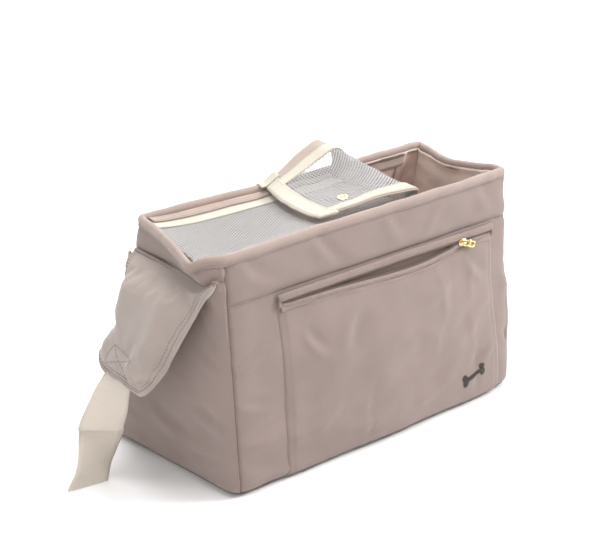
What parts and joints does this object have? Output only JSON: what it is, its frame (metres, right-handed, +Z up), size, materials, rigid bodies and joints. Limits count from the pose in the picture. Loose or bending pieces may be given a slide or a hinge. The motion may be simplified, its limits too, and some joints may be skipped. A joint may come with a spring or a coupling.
{
  "type": "pet carrier bag",
  "caption": "Soft-sided sling bag that carries a small pet: padded walls, net cover with a fold-back flap, zipped front pocket and a padded strap in two halves.",
  "frame": {"origin": "on the floor, at the centre of the base", "axes": "+X along the bag, to the right as seen from the pocket side; +Y to the rear, away from the pocket; +Z up"},
  "size_m": [0.5461, 0.2252, 0.28],
  "materials": {
    "shell_fabric": "matt woven taupe cloth",
    "lining_fabric": "matt taupe lining cloth",
    "foam": "closed-cell foam sheet, hidden",
    "board_plastic": "stiff sheet, hidden",
    "cream_tape": "cream twill tape",
    "net": "white knitted net",
    "hook_and_loop": "taupe hook-and-loop tape",
    "webbing": "cream woven webbing",
    "brass": "polished pale gold",
    "zipper_tape": "taupe zipper tape",
    "zipper_coil": "taupe nylon coil",
    "thread": "dark embroidery thread",
    "buckle_plastic": "black moulded plastic"
  },
  "bodies": {
    "shell": {"base_board": "board_plastic", "base_cushion": "lining_fabric", "bottom_panel": "shell_fabric", "corner_seam_tapes": "lining_fabric", "cover_front_edging": "cream_tape", "cover_net": "net", "cover_rear_edging": "cream_tape", "embroidered_bone": "thread", "foam_front": "foam", "foam_left": "foam", "foam_rear": "foam", "foam_right": "foam", "front_band": "shell_fabric", "front_loop_strip": "hook_and_loop", "front_panel": "shell_fabric", "left_end_band": "shell_fabric", "left_end_panel": "shell_fabric", "lining_floor": "lining_fabric", "lining_front": "lining_fabric", "lining_left": "lining_fabric", "lining_rear": "lining_fabric", "lining_right": "lining_fabric", "lower_welt": "shell_fabric", "pocket_lining": "lining_fabric", "pocket_panel": "shell_fabric", "rear_band": "shell_fabric", "rear_loop_strip": "hook_and_loop", "rear_panel": "shell_fabric", "right_end_band": "shell_fabric", "right_end_panel": "shell_fabric", "rim_binding": "shell_fabric", "snap_socket": "brass", "upper_welt": "shell_fabric", "zipper_lower_coil": "zipper_coil", "zipper_lower_tape": "zipper_tape", "zipper_stops": "brass", "zipper_upper_coil": "zipper_coil", "zipper_upper_tape": "zipper_tape"},
    "cover_riser": {"riser_net": "net", "riser_front_edging": "cream_tape", "riser_rear_edging": "cream_tape"},
    "cover_flap": {"flap_end_binding": "cream_tape", "flap_front_edging": "cream_tape", "flap_front_hook_strip": "hook_and_loop", "flap_net": "net", "flap_rear_edging": "cream_tape", "flap_rear_hook_strip": "hook_and_loop", "snap_stud": "brass"},
    "zipper_slider": {"zipper_slider": "brass"},
    "zipper_puller": {"zipper_puller": "brass"},
    "left_strap": {"left_strap_pad": "shell_fabric"},
    "left_webbing": {"left_webbing": "webbing"},
    "right_strap": {"right_strap_pad": "shell_fabric"},
    "right_webbing": {"right_webbing": "webbing"},
    "strap_buckle": {"strap_buckle": "buckle_plastic"}
  },
  "joints": [
    {"name": "riser_fold", "type": "hinge", "parent": "shell", "child": "cover_riser", "pos_m": [0.06, 0, 0.2418], "axis": [0, 1, 0], "range_deg": [0, 110]},
    {"name": "flap_fold", "type": "hinge", "parent": "cover_riser", "child": "cover_flap", "pos_m": [0.047, 0, 0.27751], "axis": [0, 1, 0], "range_deg": [0, 88.8]},
    {"name": "zipper_slide", "type": "slide", "parent": "shell", "child": "zipper_slider", "axis": [1, 0, 0], "range_m": [-0.251, 0.04]},
    {"name": "puller_swing", "type": "hinge", "parent": "zipper_slider", "child": "zipper_puller", "pos_m": [0.122, -0.10226, 0.19049], "axis": [-0.1564, -0.067, -0.9854], "range_deg": [0, 160]},
    {"name": "left_strap_lift", "type": "hinge", "parent": "shell", "child": "left_strap", "pos_m": [-0.20054, -0.01281, 0.221], "axis": [0.121, 0.9927, 0], "range_deg": [0, 72]},
    {"name": "left_webbing_swing", "type": "hinge", "parent": "left_strap", "child": "left_webbing", "pos_m": [-0.25499, 0.01398, 0.10585], "axis": [0.121, 0.9927, 0], "range_deg": [0, 20]},
    {"name": "right_strap_lift", "type": "hinge", "parent": "shell", "child": "right_strap", "pos_m": [0.20657, -0.00687, 0.214], "axis": [-0.0212, -0.9998, 0], "range_deg": [0, 106]},
    {"name": "right_webbing_swing", "type": "hinge", "parent": "right_strap", "child": "right_webbing", "pos_m": [0.23152, -0.0074, 0.10416], "axis": [-0.0212, -0.9998, 0], "range_deg": [0, 40]},
    {"name": "buckle_swing", "type": "hinge", "parent": "right_webbing", "child": "strap_buckle", "pos_m": [0.23592, -0.00749, 0.05816], "axis": [-0.0212, -0.9998, 0], "range_deg": [-30, 60]}
  ]
}
